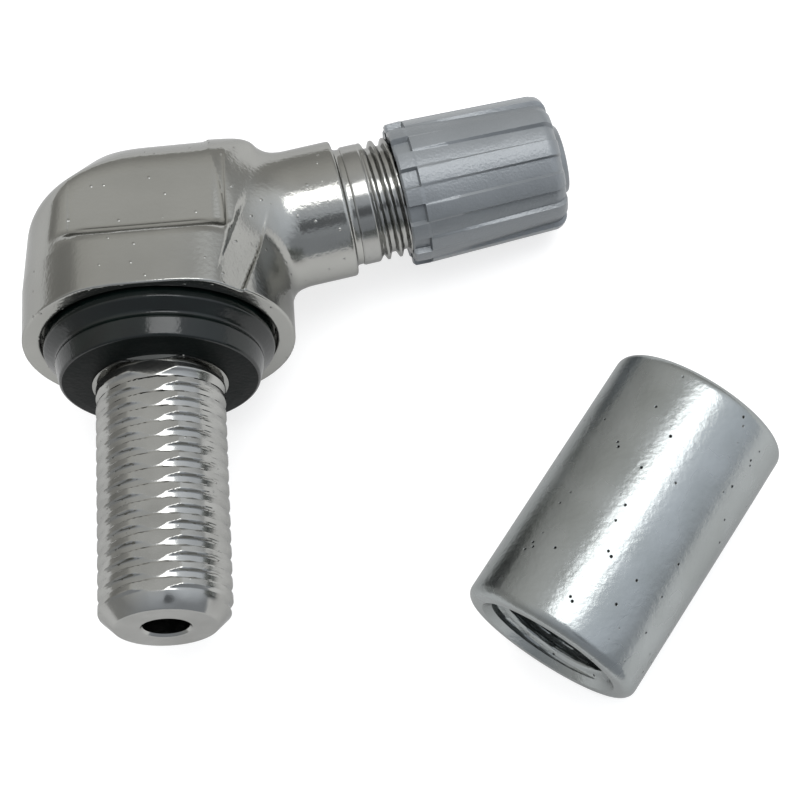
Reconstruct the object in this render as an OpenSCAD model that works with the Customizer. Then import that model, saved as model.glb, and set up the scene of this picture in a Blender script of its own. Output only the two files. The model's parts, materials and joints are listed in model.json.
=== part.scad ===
// Angled clamp-in tyre valve with its rim seal, dust cap and valve core, lying on a surface
// beside the round sleeve nut that clamps it to a wheel rim. Millimetres, +Z up.
// The origin is on the shank's axis, in the plane where the rim seal meets the rim.

/* [Head] */
// Diameter of the round collar under the head
collar_d = 17.0; // [15.5:0.1:18]
// Height of the straight part of the collar's wall
collar_straight = 3.4; // [2.5:0.1:4]
// Diameter of the head where its drafted wall meets the coned shoulder
head_top_d = 16.2; // [15:0.1:17]
// Height of the head above the collar's underside
head_h = 13.05; // [11.5:0.05:14]
// Radius of the arched roof
roof_r = 8.6; // [8:0.1:12]
// Height at which the head's drafted wall would meet the coned shoulder
shoulder_h = 8.4; // [7.8:0.05:9.2]
// Slope of the coned shoulder round the back of the head, in degrees
shoulder_slope = 45; // [40:1:52]
// Width over the two wrench flats
flats_w = 13.0; // [11:0.1:15]
// Height at which the wrench flats start
flat_start = 4.6; // [3.8:0.1:6]
// Slope of the ledge below each wrench flat, in degrees
ledge_slope = 30; // [10:1:45]
// Reach of the squared end of the head towards the neck
block_reach = 6.6; // [5.5:0.1:7.2]
// Radius that rounds the cast edges of the head
cast_edge_r = 0.8; // [0.4:0.1:1.2]

/* [Shank] */
// Outside diameter of the shank's thread
shank_d = 8.0; // [7.5:0.1:9]
// Length of the shank below the collar's underside
shank_l = 18.8; // [15:0.1:24]
// Diameter of the plain journal that carries the rim seal
journal_d = 7.4; // [6.6:0.1:7.4]
// Distance from the shank's axis to its one flat
shank_flat = 3.45; // [3.3:0.05:3.8]
// How far the flat runs up under the rim seal
flat_run_up = 0.4; // [0.2:0.1:1]
// Width of the chamfer at the shank's tip, across its radius
tip_chamfer_w = 0.9; // [0.4:0.1:1.2]
// Length of the chamfer at the shank's tip
tip_chamfer_l = 0.9; // [0.5:0.1:2]
// Diameter of the air passage in the shank
passage_d = 2.8; // [2.6:0.1:3.4]
// How far that passage is drilled past the one in the neck
passage_over = 0.4; // [0.2:0.1:1]

/* [Neck] */
// Angle by which the neck rises from square to the shank, in degrees
neck_lean = 9.5; // [0:0.5:20]
// Height at which the neck's axis crosses the shank's axis
neck_height = 6.75; // [6:0.05:7.5]
// Diameter of the plain neck
neck_d = 8.8; // [8:0.1:9.4]
// Diameter of the flare where the neck leaves the head
flare_d = 10.2; // [9.6:0.1:11]
// Distance along the neck from the shank's axis to the start of the flare's curve
flare_start = 6.9; // [6.4:0.1:7.4]
// Length of the flare's curve
flare_l = 1.4; // [0.8:0.1:2]
// Distance along the neck from the shank's axis to the end of the plain neck
neck_l = 12.2; // [11:0.1:14]
// Length of the cone between the neck and its thread
neck_cone_l = 0.55; // [0.3:0.05:1]
// Outside diameter of the neck's thread
mouth_d = 7.7; // [7.6:0.05:7.8]
// Length from the neck's end to the valve's mouth
mouth_l = 12.0; // [11:0.1:14]
// Diameter of the air passage in the neck
neck_passage_d = 2.4; // [1.8:0.1:2.5]
// Chamfer at the valve's mouth
mouth_chamfer = 0.5; // [0.2:0.1:0.8]

/* [Rim seal] */
// Diameter of the recess in the collar's underside
recess_d = 14.7; // [13.5:0.1:15]
// Depth of the recess
recess_depth = 1.2; // [0.8:0.1:2]
// Diameter of the seal's flange
seal_d = 14.4; // [13.2:0.1:14.6]
// Depth of the seal's flange below the collar's underside
seal_flange = 0.5; // [0.3:0.1:1]
// Diameter of the seal's face against the rim
seal_face_d = 12.0; // [10:0.1:12.5]
// Diameter of the bead below the seal's flange
seal_bead_d = 13.8; // [13.4:0.1:14.2]
// Height of the bead
seal_bead_h = 0.8; // [0.6:0.1:1]
// Radius that rounds the bead
seal_bead_r = 0.4; // [0.2:0.1:0.8]
// Radius that rounds the edge of the seal's face
seal_edge_r = 0.2; // [0.1:0.05:0.4]
// How far the seal stands below the collar's underside
seal_stand = 2.8; // [2:0.1:4]

/* [Sleeve nut] */
// Outside diameter of the sleeve nut
nut_d = 11.1; // [10.5:0.1:13]
// Length of the sleeve nut
nut_l = 17.3; // [12:0.1:20]
// Radius of the nut's rounded ends
nut_edge_r = 0.6; // [0.3:0.1:1]
// Chamfer at the mouths of the nut's bore
nut_chamfer = 0.4; // [0.2:0.1:0.7]
// Place of the nut's middle beside the valve
nut_at = [27.2, -12.5];
// Heading of the nut's open mouth, in degrees
nut_heading = -128; // [-180:0.5:180]

/* [Dust cap] */
// Diameter of the cap beside its mouth band
cap_d = 9.28; // [9.1:0.02:9.8]
// Diameter of the cap's ribs at its closed end
cap_end_d = 8.9; // [8.7:0.05:9.1]
// Length of the cap
cap_l = 10.4; // [9.8:0.1:11]
// Thickness of the cap's closed end
cap_end_wall = 1.2; // [0.8:0.1:1.5]
// Radius that rounds the cap's closed end
cap_edge_r = 0.7; // [0.3:0.1:1]
// Number of grip ribs, and of the notches between teeth at the mouth
cap_ribs = 12; // [8:1:16]
// Turn of the ribs on the cap, in degrees
cap_turn = 20; // [0:1:30]
// Depth of the grooves between ribs at the closed end
cap_groove = 0.3; // [0.1:0.05:0.4]
// Length of the notched band at the cap's mouth
cap_band_l = 1.1; // [0.6:0.1:1.6]
// Depth of the notches in the mouth band
cap_notch = 0.35; // [0.15:0.05:0.4]
// Diameter of the round pad on the closed end
cap_pad_d = 4.7; // [3:0.1:6]
// Height of the round pad
cap_pad_h = 0.45; // [0.2:0.05:0.7]
// Thickness of the rubber washer in the cap
cap_washer_t = 0.75; // [0.5:0.05:1]
// Diameter of the hole in the rubber washer
cap_washer_hole_d = 4.2; // [3:0.1:5]

/* [Valve core] */
// Diameter of the valve core's threaded plug
plug_d = 5.2; // [5:0.05:5.3]
// Length of the plug
plug_l = 4.6; // [4:0.1:5.5]
// Width of the bridge that a core key grips
plug_bridge_w = 2.6; // [2:0.1:3]
// Height of the bridge
plug_bridge_h = 2.2; // [1.5:0.1:2.6]
// How far the plug sits below the valve's mouth
plug_sunk = 0.9; // [0.6:0.1:1.5]
// Diameter of the core's barrel
barrel_d = 3.8; // [3.6:0.05:4]
// Length of the barrel
barrel_l = 6.4; // [6:0.1:7]
// Wall of the barrel
barrel_wall = 0.45; // [0.35:0.05:0.5]
// Width of the lip at the barrel's end
barrel_lip_w = 0.45; // [0.35:0.05:0.5]
// Thickness of the lip
barrel_lip_t = 0.5; // [0.3:0.05:0.7]
// Distance from the plug's end to the gasket
gasket_drop = 0.4; // [0.2:0.1:0.8]
// Length of the cone between the gasket's seat and the plug's thread
seat_cone_l = 0.3; // [0.2:0.05:0.4]
// Length of the tapered gasket on the barrel
gasket_l = 2.0; // [1.5:0.1:2.5]
// Diameter of the gasket at its wide end
gasket_d = 4.9; // [4.6:0.05:5]
// Diameter of the core's pin
pin_d = 1.0; // [0.8:0.05:1.2]
// How far the pin's tip sits below the valve's mouth
pin_sunk = 0.3; // [0.1:0.1:0.5]
// Travel of the pin when it is pressed
pin_travel = 1.2; // [0.8:0.1:1.6]
// Diameter of the collar on the pin that the spring lifts
pin_collar_d = 2.5; // [2.2:0.1:2.6]
// Thickness of that collar
pin_collar_t = 0.4; // [0.3:0.05:0.6]
// Distance from the plug's end to that collar
pin_collar_drop = 0.5; // [0.3:0.1:0.8]
// Chamfer at the pin's tip
pin_chamfer = 0.15; // [0.05:0.05:0.3]
// Room left below the cup when the pin is pressed
cup_room = 0.8; // [0.4:0.1:1.2]
// Diameter of the cup that shuts the barrel
cup_d = 3.4; // [3.2:0.05:3.5]
// Height of the cup
cup_h = 1.4; // [1:0.1:1.8]
// Wall of the cup
cup_wall = 0.25; // [0.2:0.05:0.35]
// Thickness of the cup's floor below the pin
cup_floor_t = 0.3; // [0.2:0.05:0.5]
// How far the cup's rim stays short of the barrel, which is also its edge's chamfer
cup_rim_drop = 0.2; // [0.1:0.05:0.3]
// Thickness of the cup's rubber washer
cup_seal_t = 0.6; // [0.4:0.1:0.8]
// Wire of the core's spring
spring_wire = 0.28; // [0.2:0.02:0.32]
// Turns of the core's spring
spring_turns = 6; // [4:1:8]

/* [Fits] */
// Clearance of a turned fit, on the radius
turned_gap = 0.05; // [0.03:0.01:0.08]
// Clearance between the cap's bore and the neck's thread, on the radius
thread_gap = 0.08; // [0.05:0.01:0.12]
// Clearance of moving pieces inside the core, on the radius
core_gap = 0.15; // [0.1:0.01:0.2]

/* [Hidden] */
$fn = 96;
arc_steps = 8;
eps = 0.01;
far = 60;

collar_r = collar_d/2;
floor_z = -collar_r;
wall_top_r = head_top_d/2;

// The arched roof runs along the whole head, and the coned shoulder cuts it round the back
roof_centre = head_h - roof_r;
shoulder_top_r = wall_top_r - (head_h - shoulder_h)/tan(shoulder_slope);
wall_draft = (collar_r - wall_top_r)/(shoulder_h - collar_straight);

// Stations along the neck, counted from the shank's axis
thread_at = neck_l + neck_cone_l;
mouth_at = neck_l + mouth_l;
plug_top = mouth_at - plug_sunk;
plug_end = plug_top - plug_l;
barrel_end = plug_end - barrel_l;
gasket_top = plug_end - gasket_drop;
gasket_end = gasket_top - gasket_l;
cup_end = barrel_end - cup_h;
chamber_end = cup_end - pin_travel - cup_room;
pin_top = mouth_at - pin_sunk;
pin_collar_top = plug_end - pin_collar_drop;
collar_under = pin_collar_top - pin_collar_t;
lip_top = barrel_end + barrel_lip_t;
cap_washer_at = mouth_at + turned_gap;
cap_floor = cap_washer_at + cap_washer_t + turned_gap;
cap_end = cap_floor + cap_end_wall;
cap_mouth = cap_end - cap_l;

// Bores
chamber_r = barrel_d/2 + core_gap;
gasket_seat_r = gasket_d/2 + turned_gap;
plug_bore_r = plug_d/2 + turned_gap;
cap_bore_r = mouth_d/2 + thread_gap;
nut_bore_r = shank_d/2 + turned_gap;
barrel_bore_r = barrel_d/2 - barrel_wall;
pin_hole_r = pin_d/2 + core_gap;
seal_bore_r = journal_d/2 + turned_gap;
cup_bore_r = cup_d/2 - cup_wall;

// The valve rolls about its shank until the rounded end of the cap meets the floor
touch_s = cap_end - cap_edge_r;
touch_r = cap_end_d/2 - cap_edge_r;
touch_drop = collar_r - cap_edge_r;
touch_sine = (touch_s*touch_drop - touch_r*sqrt(touch_s^2 + touch_r^2 - touch_drop^2))
             /(touch_s^2 + touch_r^2);
roll = asin(touch_sine/cos(neck_lean));

// Points of the arc that rounds corner b of the path a, b, c with radius r
function rounded(a, b, c, r) =
    let (u = (a - b)/norm(a - b), v = (c - b)/norm(c - b),
         half = acos(u*v)/2,
         centre = b + (u + v)/norm(u + v)*r/sin(half),
         p = b + u*r/tan(half) - centre,
         turn = (u[0]*v[1] - u[1]*v[0] > 0 ? -1 : 1)*(180 - 2*half))
    [for (i = [0:arc_steps])
        let (t = turn*i/arc_steps)
        centre + [p[0]*cos(t) - p[1]*sin(t), p[0]*sin(t) + p[1]*cos(t)]];

// Places a piece drawn on the shank's axis, with z counted up from the collar's underside
module lying() {
    rotate([-90, 0, 0]) rotate([0, 0, roll]) translate([0, 0, seal_stand]) children();
}

// Places a piece drawn along z on the neck's axis
module on_neck() {
    lying() translate([0, 0, neck_height]) rotate([0, 90 - neck_lean, 0]) children();
}

// Collar and drafted wall with the coned shoulder
module head_round() {
    shoulder_top = [shoulder_top_r, head_h];
    rotate_extrude()
        polygon(concat([[0, 0], [collar_r, 0], [collar_r, collar_straight]],
                       rounded([collar_r, collar_straight], [wall_top_r, shoulder_h], shoulder_top, cast_edge_r),
                       [shoulder_top, [0, head_h]]));
}

// Squared end of the head that carries the neck, inside the head's drafted wall
module head_block() {
    side = concat([[0, collar_straight], [block_reach, collar_straight]],
                  rounded([block_reach, 0], [block_reach, head_h], [0, head_h], cast_edge_r),
                  [[0, head_h]]);
    intersection() {
        rotate([90, 0, 0]) linear_extrude(2*far, center = true) polygon(side);
        translate([0, 0, collar_straight])
            cylinder(h = head_h, r1 = collar_r - turned_gap, r2 = collar_r - turned_gap - wall_draft*head_h);
    }
}

// Everything under the arched roof, which runs along the head towards the neck
module roof_arch() {
    rotate([90, 0, 90]) linear_extrude(2*far, center = true) {
        translate([0, roof_centre]) circle(roof_r);
        translate([-far, -far]) square([2*far, far + roof_centre]);
    }
}

// Wrench flat with the sloping ledge below it, cut on one side of the head
module wrench_flat_cut() {
    drop = (collar_d - flats_w)/2*tan(ledge_slope);
    rotate([90, 0, 90]) linear_extrude(2*far, center = true)
        polygon([[flats_w/2, flat_start], [flats_w/2 + (collar_d - flats_w)/2, flat_start - drop],
                 [far, flat_start - drop], [far, far], [flats_w/2, far]]);
}

module head() {
    difference() {
        intersection() {
            union() {
                head_round();
                head_block();
            }
            roof_arch();
        }
        wrench_flat_cut();
        mirror([0, 1, 0]) wrench_flat_cut();
        translate([0, 0, -eps]) cylinder(h = recess_depth + eps, d = recess_d);
    }
}

module neck() {
    flare_end = flare_start + flare_l;
    curve = [for (i = [0:arc_steps])
        let (t = 90*i/arc_steps)
        [flare_d/2 - (flare_d - neck_d)/2*sin(t), flare_end - flare_l*cos(t)]];
    translate([0, 0, neck_height]) rotate([0, 90 - neck_lean, 0])
        rotate_extrude()
            polygon(concat([[0, 0], [flare_d/2, 0]], curve,
                           [[neck_d/2, neck_l], [mouth_d/2, thread_at],
                            [mouth_d/2, mouth_at - mouth_chamfer],
                            [mouth_d/2 - mouth_chamfer, mouth_at], [0, mouth_at]]));
}

module shank() {
    shank_end_r = shank_d/2 - tip_chamfer_w;
    difference() {
        rotate_extrude()
            polygon([[0, collar_straight], [journal_d/2, collar_straight], [journal_d/2, -seal_stand],
                     [shank_d/2, -seal_stand], [shank_d/2, tip_chamfer_l - shank_l],
                     [shank_end_r, -shank_l], [0, -shank_l]]);
        translate([-shank_d/2, -shank_flat - shank_d, -shank_l - eps])
            cube([shank_d, shank_d, shank_l - seal_stand + flat_run_up + eps]);
    }
}

// Stepped bore of the neck: air passage, core chamber, gasket seat and plug thread
module core_bore() {
    translate([0, 0, neck_height]) rotate([0, 90 - neck_lean, 0])
        rotate_extrude()
            polygon([[0, 0], [neck_passage_d/2, 0], [neck_passage_d/2, chamber_end], [chamber_r, chamber_end],
                     [chamber_r, gasket_end], [gasket_seat_r, gasket_top],
                     [plug_bore_r, gasket_top + seat_cone_l], [plug_bore_r, mouth_at + eps], [0, mouth_at + eps]]);
}

module valve_body() {
    color("silver") lying() difference() {
        union() {
            head();
            neck();
            shank();
        }
        core_bore();
        translate([0, 0, -shank_l - eps])
            cylinder(h = shank_l + neck_height + neck_passage_d/2 + passage_over, d = passage_d);
    }
}

module rim_seal() {
    top = recess_depth - turned_gap;
    bead_top = [seal_bead_d/2, -seal_flange];
    bead_end = [seal_bead_d/2, -seal_flange - seal_bead_h];
    face_edge = [seal_face_d/2, -seal_stand];
    color([0.07, 0.08, 0.08]) lying() rotate_extrude()
        polygon(concat([[seal_bore_r, top], [seal_d/2, top], [seal_d/2, -seal_flange], bead_top],
                       rounded(bead_top, bead_end, face_edge, seal_bead_r),
                       rounded(bead_end, face_edge, [0, -seal_stand], seal_edge_r),
                       [[seal_bore_r, -seal_stand]]));
}

module sleeve_nut() {
    mouth_r = nut_bore_r + nut_chamfer;
    half_l = nut_l/2;
    color("gainsboro")
        translate([nut_at[0], nut_at[1], floor_z + nut_d/2]) rotate([0, 90, nut_heading])
        rotate_extrude()
            polygon(concat(
                [[nut_bore_r, nut_chamfer - half_l], [mouth_r, -half_l]],
                rounded([0, -half_l], [nut_d/2, -half_l], [nut_d/2, 0], nut_edge_r),
                rounded([nut_d/2, 0], [nut_d/2, half_l], [0, half_l], nut_edge_r),
                [[mouth_r, half_l], [nut_bore_r, half_l - nut_chamfer]]));
}

module core_plug() {
    color("goldenrod") on_neck() difference() {
        translate([0, 0, plug_end]) cylinder(h = plug_l, d = plug_d);
        translate([0, 0, plug_end - eps]) cylinder(h = plug_l + 2*eps, r = pin_hole_r);
        for (side = [0, 180]) rotate([0, 0, side])
            translate([plug_bridge_w/2, -plug_d, plug_top - plug_bridge_h])
                cube([plug_d, 2*plug_d, plug_bridge_h + eps]);
    }
}

module core_barrel() {
    lip_r = barrel_bore_r - barrel_lip_w;
    color("darkgoldenrod") on_neck() rotate_extrude()
        polygon([[lip_r, barrel_end], [barrel_d/2, barrel_end], [barrel_d/2, plug_end],
                 [barrel_bore_r, plug_end], [barrel_bore_r, lip_top], [lip_r, lip_top]]);
}

module core_gasket() {
    color("firebrick") on_neck() rotate_extrude()
        polygon([[barrel_d/2, gasket_end], [chamber_r - turned_gap, gasket_end],
                 [gasket_d/2, gasket_top], [barrel_d/2, gasket_top]]);
}

// Helical spring between the barrel's lip and the pin's collar
module core_spring() {
    sides = 8;
    steps = 16*spring_turns;
    low = lip_top + spring_wire/2;
    high = collar_under - spring_wire/2;
    coil_r = barrel_bore_r - spring_wire/2 - core_gap/2;
    ring = function (i) let (a = 360*spring_turns*i/steps)
        [for (k = [0:sides - 1])
            let (t = 360*k/sides, r = coil_r + spring_wire/2*cos(t))
            [r*cos(a), r*sin(a), low + (high - low)*i/steps + spring_wire/2*sin(t)]];
    points = [for (i = [0:steps]) each ring(i)];
    skin = [for (i = [0:steps - 1], k = [0:sides - 1])
        let (n = (k + 1)%sides)
        [i*sides + k, (i + 1)*sides + k, (i + 1)*sides + n, i*sides + n]];
    first = [for (k = [0:sides - 1]) k];
    last = [for (k = [sides - 1:-1:0]) steps*sides + k];
    color("lightgray") on_neck() polyhedron(points, concat(skin, [first, last]));
}

module core_pin() {
    foot = cup_end + cup_floor_t;
    color("khaki") on_neck() rotate_extrude()
        polygon([[0, foot], [pin_d/2, foot], [pin_d/2, collar_under], [pin_collar_d/2, collar_under],
                 [pin_collar_d/2, pin_collar_top], [pin_d/2, pin_collar_top],
                 [pin_d/2, pin_top - pin_chamfer], [pin_d/2 - pin_chamfer, pin_top], [0, pin_top]]);
}

module core_cup() {
    rim = barrel_end - cup_rim_drop;
    seat = barrel_end - cup_seal_t;
    color("goldenrod") on_neck() rotate_extrude()
        polygon([[0, cup_end], [cup_d/2 - cup_rim_drop, cup_end], [cup_d/2, cup_end + cup_rim_drop],
                 [cup_d/2, rim], [cup_bore_r, rim], [cup_bore_r, seat], [pin_d/2, seat],
                 [pin_d/2, cup_end + cup_floor_t], [0, cup_end + cup_floor_t]]);
}

module core_cup_seal() {
    seat = barrel_end - cup_seal_t;
    color([0.1, 0.1, 0.1]) on_neck() rotate_extrude()
        polygon([[pin_d/2, seat], [cup_bore_r, seat], [cup_bore_r, barrel_end], [pin_d/2, barrel_end]]);
}

module cap_washer() {
    color([0.12, 0.12, 0.12]) on_neck() translate([0, 0, cap_washer_at]) difference() {
        cylinder(h = cap_washer_t, r = cap_bore_r - turned_gap);
        translate([0, 0, -eps]) cylinder(h = cap_washer_t + 2*eps, d = cap_washer_hole_d);
    }
}

// Wedges that share a circle evenly with the gaps between them
module wedges(count) {
    step = 360/count;
    for (i = [0:count - 1]) rotate(i*step)
        polygon([[0, 0], 2*cap_d*[cos(step/4), -sin(step/4)], 2*cap_d*[cos(step/4), sin(step/4)]]);
}

// Half section of the cap's skin, from one radius behind the mouth band to another at the closed end
module cap_skin(mouth_r, end_r) {
    rotate_extrude()
        polygon(concat([[0, cap_mouth + cap_band_l], [mouth_r, cap_mouth + cap_band_l]],
                       rounded([mouth_r, cap_mouth], [end_r, cap_end], [0, cap_end], cap_edge_r),
                       [[0, cap_end]]));
}

module cap_shell() {
    color("slategray") on_neck() rotate([0, 0, cap_turn]) difference() {
        union() {
            cap_skin(cap_d/2 - turned_gap, cap_end_d/2 - cap_groove);
            intersection() {
                cap_skin(cap_d/2, cap_end_d/2);
                linear_extrude(far) wedges(cap_ribs);
            }
            translate([0, 0, cap_mouth]) cylinder(h = cap_band_l, r = cap_d/2 - cap_notch);
            intersection() {
                translate([0, 0, cap_mouth]) cylinder(h = cap_band_l, r = cap_d/2 - turned_gap);
                linear_extrude(far) rotate(180/cap_ribs) wedges(cap_ribs);
            }
            translate([0, 0, cap_end - eps]) cylinder(h = cap_pad_h + eps, d1 = cap_pad_d, d2 = cap_pad_d - cap_pad_h);
        }
        translate([0, 0, cap_mouth - eps]) cylinder(h = cap_floor - cap_mouth + eps, r = cap_bore_r);
    }
}

valve_body();
rim_seal();
sleeve_nut();
core_plug();
core_barrel();
core_gasket();
core_spring();
core_pin();
core_cup();
core_cup_seal();
cap_washer();
cap_shell();
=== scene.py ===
"""Looks of an angled clamp-in tyre valve: cast body, threads, rim seal, dust cap, core and sleeve nut.

Sizes are in millimetres in the valve's own frame: z runs up the shank to the head and is 0 at the
collar's underside, x runs to the neck and y to the back. Meshes are in metres in the row's frame.
"""
from __future__ import annotations

import json
import logging
import math
from dataclasses import dataclass
from enum import Enum
from typing import Any, Callable

import bpy
import numpy as np
from mathutils import Matrix, Vector

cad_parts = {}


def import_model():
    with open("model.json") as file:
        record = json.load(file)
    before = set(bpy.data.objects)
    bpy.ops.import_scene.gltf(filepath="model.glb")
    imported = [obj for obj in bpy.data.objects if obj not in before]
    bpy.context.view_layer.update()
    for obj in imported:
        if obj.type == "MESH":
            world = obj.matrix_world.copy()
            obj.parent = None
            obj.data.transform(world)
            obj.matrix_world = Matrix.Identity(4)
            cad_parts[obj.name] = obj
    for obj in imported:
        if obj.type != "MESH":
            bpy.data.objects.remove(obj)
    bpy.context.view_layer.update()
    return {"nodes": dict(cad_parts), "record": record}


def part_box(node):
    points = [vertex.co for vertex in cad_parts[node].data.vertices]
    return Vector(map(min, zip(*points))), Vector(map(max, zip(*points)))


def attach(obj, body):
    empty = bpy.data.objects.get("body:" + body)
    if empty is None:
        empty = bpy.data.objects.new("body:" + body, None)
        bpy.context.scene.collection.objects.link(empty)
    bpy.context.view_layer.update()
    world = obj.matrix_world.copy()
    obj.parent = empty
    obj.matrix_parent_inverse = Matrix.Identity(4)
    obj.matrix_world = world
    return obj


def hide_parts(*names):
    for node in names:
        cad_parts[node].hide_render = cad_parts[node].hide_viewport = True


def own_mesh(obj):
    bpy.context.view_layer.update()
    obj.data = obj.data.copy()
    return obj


LOG = logging.getLogger("tyre_valve")
MM = 0.001
# How far the rim seal stands below the collar's underside
SEAL_STAND = 2.8
# Share of a thread's half pitch that its flank takes
FLANK = 0.62
# The angle over which an edge is crisp
CRISP_EDGE = math.radians(40)
Array = np.ndarray
Settings = dict[str, Any]
Field = Callable[[Array], Array]


def linear(hex_colour: str) -> tuple[float, float, float, float]:
    """Turn an sRGB hex colour into a linear RGBA colour.

    Args:
        hex_colour: Six hex digits after a hash sign.

    Returns:
        The linear colour with full alpha.
    """
    parts = [int(hex_colour[i:i + 2], 16)/255 for i in (1, 3, 5)]
    red, green, blue = [c/12.92 if c <= 0.04045 else ((c + 0.055)/1.055)**2.4 for c in parts]
    return red, green, blue, 1.0


def smooth_step(low: float, high: float, value: Array) -> Array:
    """Return the smooth 0 to 1 step of value between low and high."""
    t = np.clip((value - low)/(high - low), 0, 1)
    return t*t*(3 - 2*t)


def blend_max(a: Array, b: Array, radius: float) -> Array:
    """Return the larger of two distances, with the edge where they cross rounded to radius."""
    h = np.maximum(radius - np.abs(a - b), 0)/radius
    return np.maximum(a, b) + h*h*radius/4


def blend_min(a: Array, b: Array, radius: float) -> Array:
    """Return the smaller of two distances, with the corner where they cross filled to radius."""
    return -blend_max(-a, -b, radius)


@dataclass(frozen=True)
class Axes:
    """A frame in the row: an origin in metres and three unit axes."""

    origin: Vector
    x: Vector
    y: Vector
    z: Vector

    def place(self, points: Array) -> Array:
        """Turn points in this frame, in millimetres, into row points in metres."""
        return np.array(self.origin) + MM*self.turn(points)

    def turn(self, directions: Array) -> Array:
        """Turn directions in this frame into row directions."""
        return directions @ np.array([self.x, self.y, self.z])


@dataclass(frozen=True)
class Layout:
    """Where the valve, its neck and its nut lie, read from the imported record."""

    valve: Axes
    neck: Axes
    nut: Axes
    lean: float
    neck_height: float

    @classmethod
    def from_record(cls, record: Settings) -> "Layout":
        """Work the frames out from the record's joints and mounts.

        Args:
            record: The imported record.

        Returns:
            The layout.
        """
        turn = next(j for j in record["behaviour"]["joints"] if j["name"] == "cap_turn")
        along = Vector(turn["axis"]).normalized()
        point = Vector(turn["pos_m"])
        lean = math.asin(along.y)
        roll = math.atan2(-along.z, along.x)
        root = point - along*(point.x/along.x)
        collar = Vector((0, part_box("rim_seal")[0].y + SEAL_STAND*MM, 0))
        valve = Axes(collar, Vector((math.cos(roll), 0, -math.sin(roll))),
                     Vector((-math.sin(roll), 0, -math.cos(roll))), Vector((0, 1, 0)))
        neck = Axes(root, valve.y.cross(along), valve.y, along)
        bore = next(m for m in record["mounts"] if m["name"] == "nut_bore")
        mouth = Vector(bore["axis"]).normalized()
        up = Vector((0, 0, 1))
        nut = Axes(Vector(bore["pos_m"]), up.cross(mouth), up, mouth)
        return cls(valve, neck, nut, lean, (root - collar).y/MM)


def graded(low: float, middle: float, high: float, fine: float, coarse: float) -> Array:
    """Return grid stations with fine steps from low to middle and coarse ones from there to high."""
    return np.concatenate([np.arange(low, middle, fine), np.arange(middle, high + coarse, coarse)])


def new_piece(name: str, points: Array, faces: list | Array, body: str,
              material: bpy.types.Material, normals: Array | None = None) -> bpy.types.Object:
    """Make a smooth mesh piece that rides on a body.

    Args:
        name: The piece's name.
        points: Row points in metres.
        faces: Vertex numbers of each face.
        body: The body that carries it.
        material: Its material.
        normals: Row directions that each point's skin faces; without them sharp edges are crisp.

    Returns:
        The piece.
    """
    mesh = bpy.data.meshes.new(name)
    mesh.from_pydata(points.tolist(), [], faces.tolist() if isinstance(faces, np.ndarray) else faces)
    mesh.polygons.foreach_set("use_smooth", [True]*len(mesh.polygons))
    mesh.materials.append(material)
    mesh.validate()
    mesh.update()
    if normals is None:
        mesh.set_sharp_from_angle(angle=CRISP_EDGE)
    else:
        mesh.normals_split_custom_set_from_vertices(normals.tolist())
    piece = bpy.data.objects.new(name, mesh)
    bpy.context.scene.collection.objects.link(piece)
    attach(piece, body)
    LOG.info("%s: %d triangles", name, sum(p.loop_total - 2 for p in mesh.polygons))
    return piece


def tube_faces(rings: int, sides: int, close_ends: bool = False) -> Array:
    """Number the quads of a tube whose points are listed ring by ring.

    Args:
        rings: How many rings there are.
        sides: How many points each ring has.
        close_ends: Whether the last ring joins the first, as round a torus.

    Returns:
        An array of quads.
    """
    spans = rings if close_ends else rings - 1
    ring, side = np.meshgrid(np.arange(spans), np.arange(sides), indexing="ij")
    after, beside = (ring + 1) % rings, (side + 1) % sides
    quads = np.stack([ring*sides + side, ring*sides + beside, after*sides + beside, after*sides + side], -1)
    return quads.reshape(-1, 4)


def arc(a: tuple[float, float], corner: tuple[float, float], b: tuple[float, float],
        radius: float, steps: int = 8) -> list[tuple[float, float]]:
    """Round a corner of an outline.

    Args:
        a: The point before the corner.
        corner: The corner.
        b: The point after it.
        radius: The radius of the arc.
        steps: How many spans the arc has.

    Returns:
        The arc's points.
    """
    c = Vector(corner)
    u, v = (Vector(a) - c).normalized(), (Vector(b) - c).normalized()
    half = u.angle(v)/2
    centre = c + (u + v).normalized()*radius/math.sin(half)
    first = c + u*radius/math.tan(half) - centre
    turn = math.copysign(math.pi - 2*half, -(u.x*v.y - u.y*v.x))
    spun = [Matrix.Rotation(turn*i/steps, 2) @ first + centre for i in range(steps + 1)]
    return [(p.x, p.y) for p in spun]


def dense(outline: list[tuple[float, float]], step: float) -> Array:
    """Add points to an outline so that none of its spans is longer than step.

    Args:
        outline: The outline's points.
        step: The longest span that is left.

    Returns:
        The points, one a row.
    """
    points = [outline[0]]
    for a, b in zip(outline, outline[1:]):
        count = max(1, math.ceil(math.dist(a, b)/step))
        points += [(a[0] + (b[0] - a[0])*i/count, a[1] + (b[1] - a[1])*i/count) for i in range(1, count + 1)]
    return np.array(points)


def turned(outline: Array, sides: int, shape: Callable[[Array, Array, Array], Array] | None = None,
           closed: bool = False, falling: bool = False) -> tuple[Array, Array]:
    """Spin an outline of (radius, station) points round z.

    Args:
        outline: The outline's points.
        sides: How many points go round.
        shape: Changes the radius, given radius, station and angle.
        closed: Whether the outline's last point joins its first.
        falling: Whether the outline runs down its outer side, so that faces are numbered backwards.

    Returns:
        The points, ring by ring, and the quads.
    """
    angle = np.linspace(0, 2*np.pi, sides, endpoint=False)[None, :]
    radius = np.repeat(outline[:, :1], sides, axis=1)
    station = np.repeat(outline[:, 1:], sides, axis=1)
    if shape is not None:
        radius = shape(radius, station, angle + 0*radius)
    points = np.stack([radius*np.cos(angle), radius*np.sin(angle), station], -1).reshape(-1, 3)
    faces = tube_faces(len(outline), sides, closed)
    return points, faces[:, ::-1] if falling else faces


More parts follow.
